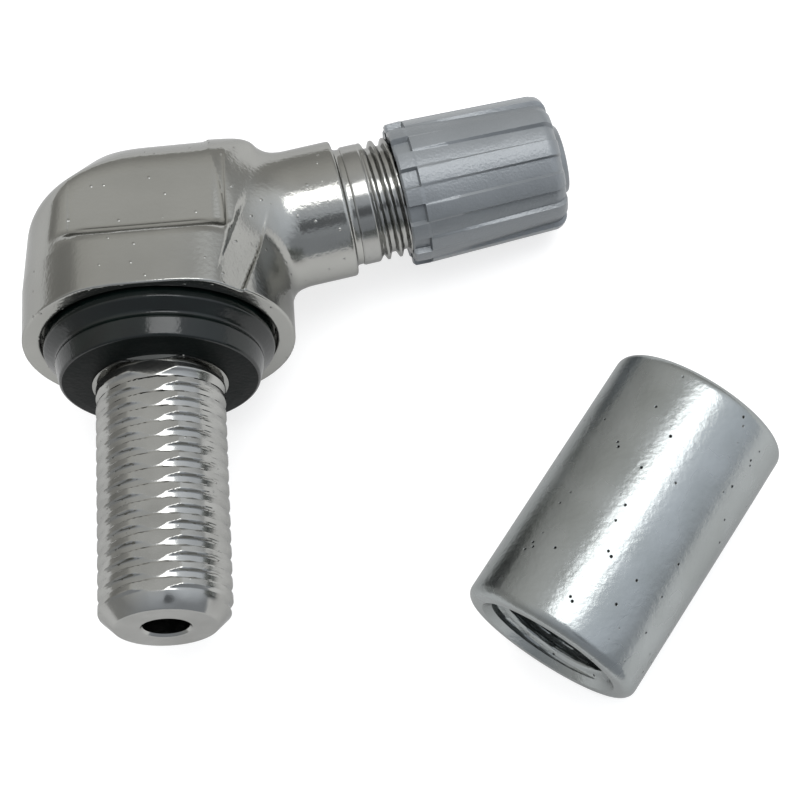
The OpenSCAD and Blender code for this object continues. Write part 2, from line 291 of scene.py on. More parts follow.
def thread_wave(station: Array, angle: Array, pitch: float, crest: float) -> Array:
    """Depth of a right-hand thread as a share, 0 on its crest and 1 in its root.

    Args:
        station: Place along the axis, in millimetres.
        angle: Angle round it.
        pitch: The thread's pitch.
        crest: The share of the pitch that the flat crest takes.

    Returns:
        The share of the thread's depth.
    """
    phase = np.mod(station/pitch - angle/(2*np.pi), 1.0)
    away = np.abs(phase - 0.5)*2
    return 1 - smooth_step(1 - crest - FLANK, 1 - crest, away)


def surface_net(distance: Field, axes: list[Array]) -> tuple[Array, Array]:
    """Mesh the surface where a distance function is zero.

    Args:
        distance: The signed distance at points, negative inside.
        axes: The stations of the grid along x, y and z.

    Returns:
        The points and the quads.
    """
    grid = np.stack(np.meshgrid(*axes, indexing="ij"), -1)
    shape = grid.shape[:3]
    value = distance(grid.reshape(-1, 3)).reshape(shape)
    cells = tuple(n - 1 for n in shape)
    total, count = np.zeros((*cells, 3)), np.zeros(cells)
    crossings = []
    for axis in range(3):
        here = [slice(None)]*3
        there = [slice(None)]*3
        here[axis], there[axis] = slice(None, -1), slice(1, None)
        a, b = value[tuple(here)], value[tuple(there)]
        cut = (a < 0) != (b < 0)
        where = np.argwhere(cut)
        share = a[cut]/(a[cut] - b[cut])
        point = grid[tuple(where.T)].copy()
        point[:, axis] += share*np.diff(axes[axis])[where[:, axis]]
        others = [i for i in range(3) if i != axis]
        around = []
        for first in (0, -1):
            for second in (0, -1):
                cell = where.copy()
                cell[:, others[0]] += first
                cell[:, others[1]] += second
                around.append(cell)
                inside = np.all((cell >= 0) & (cell < np.array(cells)), axis=1)
                np.add.at(total, tuple(cell[inside].T), point[inside])
                np.add.at(count, tuple(cell[inside].T), 1)
        crossings.append((axis, around, a[cut] < 0))
    used = count > 0
    number = np.full(cells, -1)
    number[used] = np.arange(used.sum())
    points = total[used]/count[used][:, None]
    quads = []
    for axis, around, outward in crossings:
        loop = [around[i] for i in (0, 1, 3, 2)]
        good = np.all([np.all((c >= 0) & (c < np.array(cells)), axis=1) for c in loop], axis=0)
        quad = np.stack([number[tuple(c[good].T)] for c in loop], -1)
        flip = outward[good] if axis != 1 else ~outward[good]
        quad[flip] = quad[flip][:, ::-1]
        quads.append(quad)
    return settle(distance, points), np.concatenate(quads)


def slope_of(distance: Field, points: Array, reach: float = 0.03) -> Array:
    """Return the distance's slope at points, which is the way that the skin faces there."""
    return np.stack([(distance(points + reach*e) - distance(points - reach*e))/(2*reach)
                     for e in np.eye(3)], -1)


def settle(distance: Field, points: Array, longest: float = 0.07, passes: int = 3,
           least: float = 0.2) -> Array:
    """Move points along the distance's slope, a short way at a time, until they lie on its surface.

    Args:
        distance: The signed distance at points.
        points: The points to move.
        longest: The longest way that a point moves in one pass.
        passes: How many passes there are.
        least: The least squared slope that is reckoned with.

    Returns:
        The moved points.
    """
    for _ in range(passes):
        slope = slope_of(distance, points)
        length = np.maximum((slope**2).sum(1, keepdims=True), least)
        move = -distance(points)[:, None]*slope/length
        size = np.maximum(np.linalg.norm(move, axis=1, keepdims=True), 1e-9)
        points = points + move*np.minimum(1, longest/size)
    return points


class Surface(Enum):
    """How a metal's surface was made."""

    CAST = "die cast and tumbled"
    CUT = "thread cut in cast metal"
    PLATED = "drawn and zinc plated"
    TURNED = "turned"
    DRAWN = "drawn wire"


class NodeTree:
    """The nodes of a material or a world, with one way to add a node."""

    def __init__(self, owner: bpy.types.Material | bpy.types.World, shader: str = "Principled BSDF") -> None:
        """Start from the owner's default shader.

        Args:
            owner: The material or the world.
            shader: The name of its shader node.
        """
        owner.use_nodes = True
        self.owner = owner
        self.tree = owner.node_tree
        self.shader = self.tree.nodes[shader]

    def add(self, kind: str, settings: Settings | None = None, **links: Any) -> bpy.types.Node:
        """Add a node with its settings and links.

        Args:
            kind: The node's type after ShaderNode.
            settings: Attributes of the node, and values of its sockets by name or number.
            links: Sockets to link from, by input name with underscores for spaces, or in and a number.

        Returns:
            The node.
        """
        node = self.tree.nodes.new("ShaderNode" + kind)
        for key, value in (settings or {}).items():
            if isinstance(key, str) and hasattr(node, key):
                setattr(node, key, value)
            else:
                node.inputs[key].default_value = value
        for key, socket in links.items():
            target = int(key[2:]) if key[:2] == "in" and key[2:].isdigit() else key.replace("_", " ")
            self.tree.links.new(socket, node.inputs[target])
        return node

    def set(self, **values: Any) -> None:
        """Set values on the shader's own sockets."""
        for key, value in values.items():
            self.shader.inputs[key.replace("_", " ")].default_value = value

    def feed(self, socket: bpy.types.NodeSocket, target: str) -> None:
        """Link a socket to one of the shader's."""
        self.tree.links.new(socket, self.shader.inputs[target])


@dataclass(frozen=True)
class Spots:
    """Scattered marks on a skin: casting pimples, or pits through a plating."""

    size_mm: float
    gap_mm: float
    share: float
    height_mm: float
    colour: str | None = None
    full_share: float = 0.4

    def spread(self, nodes: NodeTree, place: bpy.types.NodeSocket) -> bpy.types.NodeSocket:
        """Scatter the marks.

        Args:
            nodes: The nodes to add to.
            place: The place on the skin.

        Returns:
            A socket that is 1 in the middle of each mark and 0 between marks.
        """
        cells = nodes.add("TexVoronoi", {"Scale": 1/(self.gap_mm*MM)}, Vector=place)
        chance = nodes.add("SeparateColor", None, Color=cells.outputs["Color"])
        few = nodes.add("Math", {"operation": "LESS_THAN", 1: self.share}, in0=chance.outputs[0])
        reach = self.size_mm/self.gap_mm/2
        near = nodes.add("MapRange", {"interpolation_type": "SMOOTHSTEP", "From Min": reach*self.full_share,
                                      "From Max": reach, "To Min": 1.0, "To Max": 0.0},
                         Value=cells.outputs["Distance"])
        return nodes.add("Math", {"operation": "MULTIPLY"}, in0=near.outputs["Result"],
                         in1=few.outputs["Value"]).outputs["Value"]


@dataclass(frozen=True)
class Skin:
    """What made surfaces share: two tints in clouds, patches of roughness and a fine grain."""

    low: str
    high: str
    roughness: float
    spread: float
    cloud_mm: float
    grain_mm: float
    grain_depth_mm: float
    detail: float = 3.0
    high_at: float = 0.65
    low_at: float = 0.35

    def lay(self, nodes: NodeTree) -> list[bpy.types.NodeSocket]:
        """Add the skin's nodes and feed its roughness.

        Args:
            nodes: The nodes to add to.

        Returns:
            The sockets of the place on the skin, its colour and its grain's normal.
        """
        place = nodes.add("TexCoord").outputs["Object"]
        cloud = nodes.add("TexNoise", {"Scale": 1/(self.cloud_mm*MM), "Detail": self.detail}, Vector=place)
        grain = nodes.add("TexNoise", {"Scale": 1/(self.grain_mm*MM), "Detail": 2.0}, Vector=place)
        tint = nodes.add("ValToRGB", None, Fac=cloud.outputs["Fac"])
        first, last = tint.color_ramp.elements
        first.position, last.position = self.low_at, self.high_at
        first.color, last.color = linear(self.low), linear(self.high)
        rough = nodes.add("MapRange", {"To Min": self.roughness - self.spread,
                                       "To Max": self.roughness + self.spread}, Value=cloud.outputs["Fac"])
        nodes.feed(rough.outputs["Result"], "Roughness")
        bump = nodes.add("Bump", {"Strength": 1.0, "Distance": self.grain_depth_mm*MM},
                         Height=grain.outputs["Fac"])
        return [place, tint.outputs["Color"], bump.outputs["Normal"]]


@dataclass(frozen=True)
class Metal:
    """A bare or plated metal, with scattered marks where it has them."""

    name: str
    surface: Surface
    skin: Skin
    spots: Spots | None = None
    edge_tint: str = "#d0d0d0"

    def build(self) -> bpy.types.Material:
        """Make the metal's material.

        Returns:
            The material.
        """
        nodes = NodeTree(bpy.data.materials.new(self.name))
        nodes.set(Metallic=1.0, Specular_Tint=linear(self.edge_tint))
        place, colour, normal = self.skin.lay(nodes)
        if self.spots:
            mark = self.spots.spread(nodes, place)
            normal = nodes.add("Bump", {"Strength": 1.0, "Distance": self.spots.height_mm*MM}, Height=mark,
                               Normal=normal).outputs["Normal"]
            if self.spots.colour:
                colour = nodes.add("Mix", {"data_type": "RGBA", 7: linear(self.spots.colour)}, in0=mark,
                                   in6=colour).outputs[2]
        nodes.feed(colour, "Base Color")
        nodes.feed(normal, "Normal")
        LOG.info("%s: %s", self.name, self.surface.value)
        return nodes.owner


@dataclass(frozen=True)
class Moulded:
    """A moulded rubber or plastic: its skin, and how it shines."""

    name: str
    skin: Skin
    ior: float
    shine: float = 0.5
    flake: float = 0.0

    def build(self) -> bpy.types.Material:
        """Make the moulded material.

        Returns:
            The material.
        """
        nodes = NodeTree(bpy.data.materials.new(self.name))
        nodes.set(IOR=self.ior, Metallic=self.flake, Specular_IOR_Level=self.shine)
        colour, normal = self.skin.lay(nodes)[1:]
        nodes.feed(colour, "Base Color")
        nodes.feed(normal, "Normal")
        return nodes.owner


# Die-cast alloy, tumbled bright: soft grey mirror with a faint orange-peel skin and casting pimples
CAST_ALLOY = Metal("die_cast_alloy", Surface.CAST, Skin("#a4a4a0", "#adada9", 0.17, 0.03, 6.0, 0.24, 0.012),
                   Spots(0.24, 0.7, 0.45, 0.03))
# The same alloy where the thread is cut: a finer skin, with a few small burrs
CUT_THREAD = Metal("cut_thread_alloy", Surface.CUT, Skin("#a2a29f", "#afafac", 0.17, 0.03, 2.5, 0.22, 0.003),
                   Spots(0.18, 0.6, 0.2, 0.015))
# Steel tube, zinc plated: cool bright grey with cloudy patches, an uneven skin and black pits
ZINC_PLATE = Metal("zinc_plated_steel", Surface.PLATED,
                   Skin("#9fa3a2", "#aaaeae", 0.27, 0.05, 3.0, 0.33, 0.018),
                   Spots(0.22, 0.6, 0.26, -0.05, "#191a1a"))
# Turned brass of the core: warm, lightly tarnished
CORE_BRASS = Metal("turned_brass", Surface.TURNED, Skin("#b08a45", "#d8b66a", 0.25, 0.08, 1.5, 0.2, 0.006))
# Drawn spring wire
SPRING_WIRE = Metal("drawn_steel_wire", Surface.DRAWN,
                    Skin("#8f9192", "#b9bbbc", 0.25, 0.05, 1.0, 0.1, 0.003))
# Moulded nitrile rubber: green-black and satin, its shine a little patchy
SEAL_RUBBER = Moulded("moulded_black_rubber",
                      Skin("#040908", "#07100e", 0.17, 0.08, 1.2, 0.3, 0.012, 4.0, 0.7), 1.5)
# The same rubber on the face that rubs on the rim: dull
DULL_RUBBER = Moulded("dull_black_rubber",
                      Skin("#040908", "#07100e", 0.5, 0.08, 1.2, 0.3, 0.02, 4.0, 0.7), 1.5, 0.12)
# Red gasket rubber of the core
GASKET_RUBBER = Moulded("moulded_red_rubber",
                        Skin("#7c2018", "#8e2c20", 0.5, 0.05, 3.0, 0.2, 0.01, 4.0, 0.7), 1.5)
# Moulded grey nylon: satin, with a glint and a sparked skin that is coarser than the real one, to show
CAP_PLASTIC = Moulded("moulded_grey_nylon",
                      Skin("#767a7d", "#7e8285", 0.34, 0.04, 4.0, 0.16, 0.024, 4.0, 0.7), 1.53, 0.9, 0.35)


@dataclass
class CastBody:
    """The valve's die casting: collar, head with wrench flats, neck, shank and valve mouth."""

    layout: Layout
    collar_r: float = 8.5
    collar_straight: float = 3.4
    wall_top_r: float = 8.1
    shoulder_h: float = 8.4
    shoulder_slope: float = math.radians(45)
    head_h: float = 13.15
    roof_rise: float = 0.02
    roof_r: float = 8.0
    roof_edge_r: float = 0.7
    flat_half: float = 6.5
    flat_start: float = 4.6
    flat_edge_r: float = 0.6
    flat_end_r: float = 0.45
    flat_end_x: tuple[float, float] = (2.5, 5.5)
    panel_left: float = -4.95
    panel_right: float = 5.15
    panel_depth: float = 0.1
    panel_roll: float = 0.22
    panel_step: float = 0.2
    border_span: tuple[float, float] = (0.2, 0.42)
    roll_span: tuple[float, float] = (0.95, 0.25)
    ledge_slope: float = math.radians(28)
    lip_h: float = 0.08
    lip_w: float = 0.13
    lip_left: tuple[float, float] = (-4.4, -3.4)
    lip_right: tuple[float, float] = (4.2, 3.2)
    low_lip: float = 0.06
    high_lip: float = 0.2
    ledge_fillet: float = 0.4
    end_reach: float = 6.35
    end_h: float = 12.4
    end_edge_r: float = 0.9
    edge_r: float = 0.8
    collar_edge_r: float = 0.14
    recess_r: float = 7.35
    recess_depth: float = 1.2
    recess_edge_r: float = 0.2
    neck_r: float = 4.4
    neck_edge_r: float = 0.25
    neck_fillet: float = 0.8
    flare_end: float = 8.4
    flare_l: float = 3.4
    flare_slope: float = math.radians(27)
    flare_sink: float = 0.25
    flare_fillet: float = 0.4
    neck_l: float = 12.2
    thread_at: float = 12.75
    thread_r: float = 3.85
    stub_sink: float = 0.1
    stub_l: float = 0.4
    stub_fillet: float = 0.3
    passage_r: float = 1.4
    passage_top: float = 8.35
    neck_passage_r: float = 1.2
    chamber_r: float = 2.05
    chamber_end: float = 8.9
    band_azimuth: float = math.radians(-44)
    band_depth: float = 0.24
    band_lean: float = 0.44
    band_level: float = 3.85
    band_left: float = -0.75
    band_right: float = 1.43
    band_flank: float = 3.4
    band_edge_r: float = 0.12
    facing_reach: float = 0.02
    grid: float = 0.125
    front_grid: float = 0.105
    back_grid: float = 0.2
    span_x: tuple[float, float] = (-8.8, 13.7)
    span_y: tuple[float, float, float] = (-8.8, -2.5, 8.9)
    span_z: tuple[float, float] = (-0.3, 14.2)

    def distance(self, p: Array) -> Array:
        """Work out the distance to the casting's skin.

        Args:
            p: Points in the valve's frame, in millimetres.

        Returns:
            Signed distances in millimetres, negative inside.
        """
        x, y, z = p.T
        radial = np.hypot(x, y)
        c, s = math.cos(self.layout.lean), math.sin(self.layout.lean)
        station = x*c + (z - self.layout.neck_height)*s
        off = np.hypot(-x*s + (z - self.layout.neck_height)*c, y)
        crown = z - self.head_h - self.roof_rise*x + self.roof_r
        arch = np.hypot(y, np.maximum(crown, 0)) - self.roof_r
        solid = blend_min(self.head(x, y, z, radial, arch), self.neck(station, off, arch), self.neck_fillet)
        solid = blend_max(solid, -z, self.collar_edge_r)
        recess = np.maximum(radial - self.recess_r, z - self.recess_depth)
        bore = np.maximum(off - self.neck_passage_r, -station)
        chamber = np.maximum(off - self.chamber_r, self.chamber_end - station)
        rise = np.maximum(radial - self.passage_r, z - self.passage_top)
        hollow = np.minimum(np.minimum(bore, chamber), rise)
        return np.maximum(blend_max(solid, -recess, self.recess_edge_r), -hollow)

    def head(self, x: Array, y: Array, z: Array, radial: Array, arch: Array) -> Array:
        """Work out the head: drafted wall, coned shoulder, squared end, arched roof and flats.

        Args:
            x: Places along the valve's x.
            y: Places along its y.
            z: Heights over the collar's underside.
            radial: Distances from the shank's axis.
            arch: Signed distances to the roof's arch.

        Returns:
            Signed distances to the head.
        """
        draft = (self.collar_r - self.wall_top_r)/(self.shoulder_h - self.collar_straight)
        lean_in = draft*np.maximum(z - self.collar_straight, 0)
        front = np.sqrt(np.maximum(self.collar_r**2 - x**2, self.flat_half**2))
        low = self.flat_start - (front - self.flat_half)*math.tan(self.ledge_slope) - self.low_lip
        wall = radial - self.collar_r + lean_in - self.lip(x, z - low)
        wall = blend_max(wall, -self.band(x, y, z, lean_in), self.band_edge_r)
        head = blend_max(wall, self.shoulder(z, np.hypot(np.minimum(x, 0), y)), self.edge_r)
        head = blend_max(head, (x - self.end_reach + z - self.end_h)*math.sqrt(0.5), self.end_edge_r)
        head = blend_max(head, arch, self.roof_edge_r)
        lip = self.lip(x, z - self.flat_start - self.high_lip)
        across = np.abs(y) - self.flat_half + self.panel(x) - lip
        ledge = (z - self.flat_start)*math.cos(self.ledge_slope) + across*math.sin(self.ledge_slope)
        edge_r = self.flat_edge_r + (self.flat_end_r - self.flat_edge_r)*smooth_step(*self.flat_end_x, x)
        return blend_max(head, blend_min(across, ledge, self.ledge_fillet), edge_r)

    def shoulder(self, z: Array, out: Array) -> Array:
        """Signed distance to the coned shoulder, out from the axis or from the head's ridge."""
        tilt = self.shoulder_slope
        return (z - self.shoulder_h)*math.cos(tilt) + (out - self.wall_top_r)*math.sin(tilt)

    def panel(self, x: Array) -> Array:
        """Work out how deep the flat is sunk inside its left border, with a roll-off beside the neck.

        Args:
            x: Places along the valve's x.

        Returns:
            The depths.
        """
        start, end = self.roll_span
        sunk = self.panel_depth*smooth_step(*self.border_span, x - self.panel_left)
        roll = self.panel_roll*smooth_step(self.panel_right - start, self.panel_right - end, x)
        return (sunk + roll)*smooth_step(self.panel_right, self.panel_right - self.panel_step, x)

    def lip(self, x: Array, off: Array) -> Array:
        """Height of the fine lip along an edge of the flat's ledge, off being the way up from the lip."""
        ends = smooth_step(*self.lip_left, x)*smooth_step(*self.lip_right, x)
        return self.lip_h*np.exp(-(off/self.lip_w)**2)*ends

    def band(self, x: Array, y: Array, z: Array, lean_in: Array) -> Array:
        """Work out the shallow slanted band that the die leaves in the wall beside the neck.

        Args:
            x: Places along the valve's x.
            y: Places along its y.
            z: Heights over the collar's underside.
            lean_in: How far the wall's draft leans in there.

        Returns:
            Signed distances to the band.
        """
        azimuth = self.band_azimuth + self.band_lean*np.maximum(z - self.band_level, 0)/self.collar_r
        c, s = np.cos(azimuth), np.sin(azimuth)
        below = self.collar_r - self.band_depth - lean_in - (x*c + y*s)
        along = y*c - x*s - self.band_lean*np.minimum(z - self.band_level, 0)
        flank = (self.band_left - along + self.band_flank*below)/math.hypot(1, self.band_flank)
        return np.maximum(np.maximum(below, flank), along - self.band_right)

    def neck(self, station: Array, off: Array, arch: Array) -> Array:
        """Work out the neck with its flare under the roof, and the stub inside its thread.

        Args:
            station: Places along the neck's axis.
            off: Distances from it.
            arch: Signed distances to the roof's arch.

        Returns:
            Signed distances to the neck.
        """
        slope = self.flare_slope
        flare = (off - self.neck_r)*math.cos(slope) - (self.flare_end - station)*math.sin(slope)
        flare = blend_max(flare, arch + self.flare_sink, self.flare_fillet)
        flare = np.maximum(flare, self.flare_end - self.flare_l - station)
        tube = blend_min(off - self.neck_r, flare, self.flare_fillet)
        tube = blend_max(tube, station - self.neck_l, self.neck_edge_r)
        stub = np.maximum(off - self.thread_r + self.stub_sink, station - self.thread_at - self.stub_l)
        return np.maximum(blend_min(tube, stub, self.stub_fillet), -station)

    def build(self) -> None:
        """Make the casting and its two threads in place of the plain body."""
        cast = CAST_ALLOY.build()
        cut = CUT_THREAD.build()
        axes = [np.arange(*self.span_x, self.grid), graded(*self.span_y, self.front_grid, self.back_grid),
                np.arange(*self.span_z, self.grid)]
        points, quads = surface_net(self.distance, axes)
        facing = slope_of(self.distance, points, self.facing_reach)
        facing /= np.linalg.norm(facing, axis=1, keepdims=True)
        valve = self.layout.valve
        piece = new_piece("valve_casting", valve.place(points), quads, "valve", cast,
                          valve.turn(facing))
        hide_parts("valve_body")
        ShankThread(self.layout).build(cut)
        NeckThread(self.layout).build(cut)


@dataclass
class ShankThread:
    """The threaded shank below the collar, with its one flat and chamfered tip."""

    layout: Layout
    radius: float = 4.0
    depth: float = 0.3
    pitch: float = 1.0
    crest: float = 0.36
    root: float = 0.3
    root_rise: float = 0.07
    length: float = 18.8
    journal_r: float = 3.7
    ring_r: float = 4.2
    flat_at: float = 3.72
    tip_r: float = 3.1
    tip_l: float = 0.9
    tip_edge_r: float = 0.15
    ring_rise: float = 0.05
    ring_span: tuple[float, float] = (0.02, 0.12)
    undercut_span: tuple[float, float] = (0.2, 0.32)
    thread_from: float = 0.42
    run_in: tuple[float, float] = (0.5, 1.2)
    root_in: float = 2.0
    passage_r: float = 1.4
    hole_edge: float = 0.15
    skin_gap: float = 0.4
    fine: float = 0.055
    coarse: float = 0.5
    sides: int = 240

    def cut(self, station: Array, angle: Array) -> Array:
        """Work out the thread: broad crests, rounded flanks and wide roots that slope a little.

        Args:
            station: Places along the shank.
            angle: Angles round it.

        Returns:
            How deep the thread is cut there.
        """
        phase = np.mod(station/self.pitch - angle/(2*np.pi), 1.0)
        flank = (1 - self.crest - self.root)/2
        down = smooth_step(0, flank, phase)
        up = smooth_step(flank + self.root, 2*flank + self.root, phase)
        rise = np.clip((phase - flank)/self.root, 0, 1)*self.root_rise
        return (self.depth - rise)*down*(1 - up)

    def shape(self, radius: Array, station: Array, angle: Array) -> Array:
        """Cut the thread and the flat into the shank.

        Args:
            radius: Its plain radius.
            station: Places along it.
            angle: Angles round it.

        Returns:
            The radius that is left.
        """
        outer = radius > self.passage_r + self.skin_gap
        first, full = self.run_in
        start = smooth_step(-SEAL_STAND - first, -SEAL_STAND - full, station)
        cut = np.where(start > 0, np.minimum(radius, self.radius - self.cut(station, angle)*start), radius)
        toward = np.maximum(-np.sin(angle), 1e-3)
        flat = np.where(station < -SEAL_STAND, self.flat_at/toward, np.inf)
        return np.where(outer, np.minimum(cut, flat), radius)

    def build(self, material: bpy.types.Material) -> None:
        """Make the shank as one turned skin from its root to the air passage.

        Args:
            material: The cut alloy.
        """
        end, top, edge = -self.length, -SEAL_STAND, self.hole_edge
        ring, undercut = self.ring_span, self.undercut_span
        thread = [(self.journal_r, top + self.ring_rise), (self.ring_r, top - ring[0]),
                  (self.ring_r, top - ring[1]), (self.journal_r, top - undercut[0]),
                  (self.journal_r, top - undercut[1]), (self.radius, top - self.thread_from),
                  (self.radius, end + self.tip_l)]
        tip = arc(thread[-1], (self.tip_r, end), (0, end), self.tip_edge_r, 4)
        passage = [tip[-1], (self.passage_r + edge, end), (self.passage_r, end + edge),
                   (self.passage_r, self.root_in)]
        outline = np.concatenate([[(self.journal_r, self.root_in)], dense(thread, self.fine),
                                  dense(tip, self.fine), dense(passage, self.coarse)])
        points, faces = turned(outline, self.sides, self.shape, falling=True)
        piece = new_piece("threaded_shank", self.layout.valve.place(points), faces, "valve",
                          material)
        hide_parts("valve_body")


@dataclass
class NeckThread:
    """The threaded valve mouth at the neck's end."""

    layout: Layout
    radius: float = 3.85
    depth: float = 0.42
    pitch: float = 0.794
    crest: float = 0.12
    run_in: tuple[float, float] = (1.0, 1.5)
    start: float = 12.7
    lead: float = 0.1
    lead_sink: tuple[float, float] = (0.3, 0.05)
    skin_gap: float = 0.6
    mouth: float = 24.2
    chamfer: float = 0.5
    plug_r: float = 2.65
    plug_end: float = 18.6
    seat_r: float = 2.5
    seat_top: float = 18.3
    seat_end: float = 16.3
    chamber_r: float = 2.05
    fine: float = 0.045
    coarse: float = 0.5
    sides: int = 160

    def shape(self, radius: Array, station: Array, angle: Array) -> Array:
        """Cut the thread into the mouth.

        Args:
            radius: Its plain radius.
            station: Places along it.
            angle: Angles round it.

        Returns:
            The radius that is left.
        """
        outer = radius > self.plug_r + self.skin_gap
        first, full = self.run_in
        fade = smooth_step(self.start + first, self.start + full, station)
        depth = self.depth*thread_wave(station, angle, self.pitch, self.crest)*fade
        return np.where(outer, np.minimum(radius, self.radius - depth), radius)

    def build(self, material: bpy.types.Material) -> None:
        """Make the mouth as one turned skin from the neck to the core's chamber.

        Args:
            material: The cut alloy.
        """
        low, high = self.lead_sink
        thread = [(self.radius - low, self.start - self.lead), (self.radius - high, self.start),
                  (self.radius, self.start + self.lead), (self.radius, self.mouth - self.chamfer),
                  (self.radius - self.chamfer, self.mouth)]
        bore = [thread[-1], (self.plug_r, self.mouth), (self.plug_r, self.plug_end),
                (self.seat_r, self.seat_top), (self.chamber_r, self.seat_end), (self.chamber_r, self.start)]
        outline = np.concatenate([dense(thread, self.fine), dense(bore, self.coarse)[1:]])
        points, faces = turned(outline, self.sides, self.shape)
        piece = new_piece("threaded_mouth", self.layout.neck.place(points), faces, "valve",
                          material)
        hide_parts("valve_body")


@dataclass
class RimSeal:
    """The moulded rubber seal under the collar."""

    layout: Layout
    bore_r: float = 3.75
    flange_r: float = 7.2
    top: float = 1.15
    flange: float = 0.55
    groove_r: float = 6.25
    groove: float = 1.2
    body_r: float = 6.52
    body: float = 1.45
    foot_r: float = 6.2
    foot: float = 2.65
    toe_r: float = 5.4
    toe: float = 2.75
    face_r: float = 4.25
    top_edge: float = 0.1
    flange_round: float = 0.2
    side_round: float = 0.25
    foot_round: float = 0.22
    fine: float = 0.12
    sides: int = 180

    def build(self) -> None:
        """Make the seal as a turned ring with a flange, a groove, a steep-sided body and a dull face."""
        flange, groove = (self.flange_r, -self.flange), (self.groove_r, -self.groove)
        body, foot, toe = (self.body_r, -self.body), (self.foot_r, -self.foot), (self.toe_r, -self.toe)
        satin = dense([(self.bore_r, self.top), (self.flange_r - self.top_edge, self.top),
                       *arc((self.flange_r, self.top), flange, groove, self.flange_round, 5),
                       *arc(flange, groove, body, self.side_round, 5),
                       *arc(groove, body, foot, self.side_round, 6),
                       *arc(body, foot, toe, self.foot_round, 8)], self.fine)
        dull = [toe, (self.face_r, -SEAL_STAND), (self.bore_r, -SEAL_STAND)]
        outline = dense([*satin.tolist(), *dull], self.fine)
        points, faces = turned(outline, self.sides, closed=True, falling=True)
        piece = new_piece("moulded_rim_seal", self.layout.valve.place(points), faces, "valve",
                          SEAL_RUBBER.build())
        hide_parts("rim_seal")
        piece.data.materials.append(DULL_RUBBER.build())
        for polygon in piece.data.polygons:
            polygon.material_index = int(polygon.index >= (len(satin) - 1)*self.sides)


@dataclass
class DustCap:
    """The ribbed plastic dust cap."""

    layout: Layout
    mouth: float = 15.85
    end: float = 26.1
    mouth_r: float = 4.64
    end_r: float = 4.38
    edge_r: float = 0.85
    ribs: int = 12
    rib_turn: float = math.radians(20)
    rib_flank: float = 0.13
    groove: float = 0.3
    groove_start: float = 0.05
    band_l: float = 1.1
    step_half: float = 0.05
    notch: float = 0.35
    pad_r: float = 2.35
    pad_h: float = 0.55
    pad_foot: float = 0.05
    pad_draft: float = 0.2
    pad_edge_r: float = 0.18
    bore_r: float = 3.93
    floor: float = 25.05
    lead_in: tuple[float, float] = (0.2, 0.3)
    mouth_edge: float = 0.15
    mouth_round: tuple[float, float] = (0.03, 0.12)
    axis_r: float = 0.001
    skin_gap: float = 0.01
    end_gap: float = 0.02
    fine: float = 0.13
    coarse: float = 1.0
    sides: int = 432

    def shape(self, radius: Array, station: Array, angle: Array) -> Array:
        """Cut the grip grooves and the mouth's notches into the cap.

        Args:
            radius: Its plain radius.
            station: Places along it.
            angle: Angles round it.

        Returns:
            The radius that is left.
        """
        outer = (radius > self.bore_r + self.skin_gap) | (station > self.floor + self.skin_gap)
        low = smooth_step(self.rib_flank, -self.rib_flank, np.cos(self.ribs*(angle - self.rib_turn)))
        step = self.mouth + self.band_l
        along = np.clip((station - step)/(self.end - step), 0, 1)
        deep = (self.groove_start + (self.groove - self.groove_start)*along)*low
        band = smooth_step(step + self.step_half, step - self.step_half, station)
        cut = deep*(1 - band) + self.notch*(1 - low)*band
        share = np.clip((radius - self.pad_r)/(self.end_r - self.edge_r - self.pad_r), 0, 1)
        fade = np.where(station > self.end - self.end_gap, share, 1.0)
        return np.where(outer, radius - cut*fade, radius)

    def build(self) -> None:
        """Make the cap as one turned skin, outside and inside."""
        pad_top = self.end + self.pad_h
        step = self.mouth + self.band_l
        wide, deep = self.lead_in
        inset, rise = self.mouth_round
        bore = [(self.axis_r, self.floor), (self.bore_r, self.floor), (self.bore_r, self.mouth + deep),
                (self.bore_r + wide, self.mouth), (self.mouth_r - self.mouth_edge, self.mouth)]
        skin = [bore[-1], (self.mouth_r - inset, self.mouth + rise),
                (self.mouth_r, step - self.step_half), (self.mouth_r, step + self.step_half),
                *arc((self.mouth_r, self.mouth), (self.end_r, self.end), (0, self.end), self.edge_r),
                (self.pad_r + self.pad_foot, self.end),
                *arc((self.pad_r, self.end), (self.pad_r - self.pad_draft, pad_top), (0, pad_top),
                     self.pad_edge_r, 5),
                (self.axis_r, pad_top)]
        outline = np.concatenate([dense(bore, self.coarse), dense(skin, self.fine)[1:]])
        points, faces = turned(outline, self.sides, self.shape)
        piece = new_piece("ribbed_cap", self.layout.neck.place(points), faces, "cap",
                          CAP_PLASTIC.build())
        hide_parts("cap_shell")


